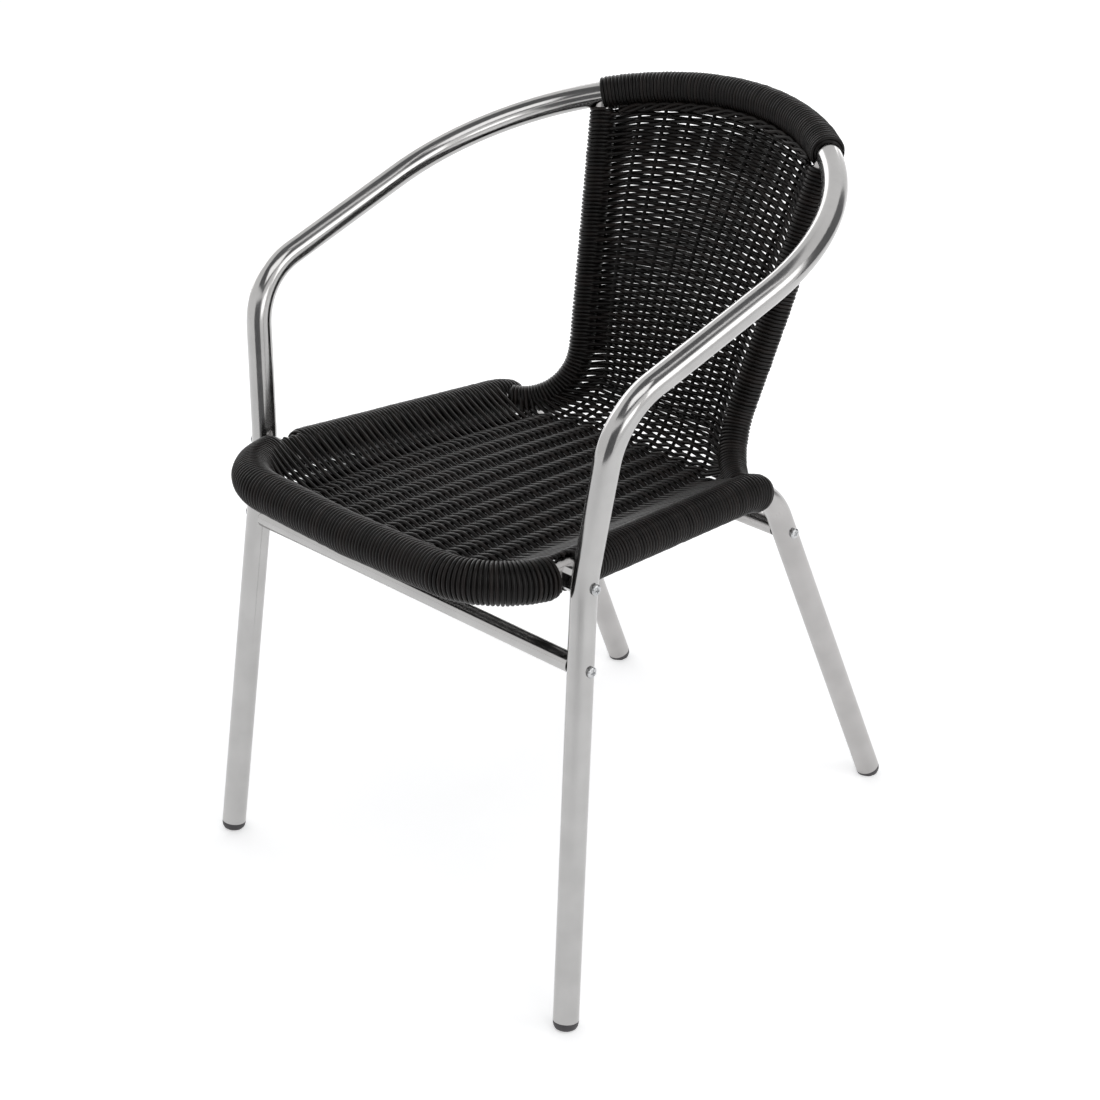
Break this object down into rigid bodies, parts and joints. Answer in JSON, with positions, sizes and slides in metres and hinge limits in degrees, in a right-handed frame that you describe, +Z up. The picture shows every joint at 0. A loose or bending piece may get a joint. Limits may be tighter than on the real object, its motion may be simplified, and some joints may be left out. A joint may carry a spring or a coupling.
{
  "type": "bistro armchair",
  "caption": "Bistro armchair with a bent aluminium tube frame, cane wound on the rails and posts, and a woven cane seat and back.",
  "frame": {"origin": "on the floor, under the middle of the chair's bounding box", "axes": "+Z up, the sitter faces -Y, +X to the sitter's left; x = 0 is the plane of symmetry"},
  "size_m": [0.5256, 0.5898, 0.7298],
  "materials": {
    "polished": "polished tube",
    "satin": "brushed satin tube",
    "steel": "plated fastener",
    "cane": "round extruded cane, soft sheen",
    "wire": "dark coated wire",
    "plastic": "dark grey foot plug"
  },
  "bodies": {
    "root": {"main_frame": "polished", "seat_frame": "satin", "front_stretcher": "polished", "rear_stretcher": "satin", "front_stretcher_insert_right": "steel", "front_stretcher_insert_left": "steel", "rear_stretcher_insert_right": "steel", "rear_stretcher_insert_left": "steel", "front_stretcher_screw_right": "steel", "front_stretcher_screw_left": "steel", "rear_stretcher_screw_right": "steel", "rear_stretcher_screw_left": "steel", "seat_screw_right": "steel", "seat_screw_left": "steel", "seat_spacer_right": "polished", "seat_spacer_left": "polished", "seat_nut_right": "steel", "seat_nut_left": "steel", "front_foot_plug_right": "plastic", "front_foot_plug_left": "plastic", "rear_foot_plug_right": "plastic", "rear_foot_plug_left": "plastic", "back_post_right": "satin", "back_post_left": "satin", "top_rail_winding": "cane", "front_rail_winding": "cane", "side_rail_winding_right": "cane", "side_rail_winding_left": "cane", "back_post_winding_right": "cane", "back_post_winding_left": "cane", "stake_1": "wire", "stake_2": "wire", "stake_3": "wire", "stake_4": "wire", "stake_5": "wire", "stake_6": "wire", "stake_7": "wire", "stake_8": "wire", "stake_9": "wire", "stake_10": "wire", "stake_11": "wire", "seat_weave": "cane", "back_weave": "cane"}
  },
  "joints": []
}
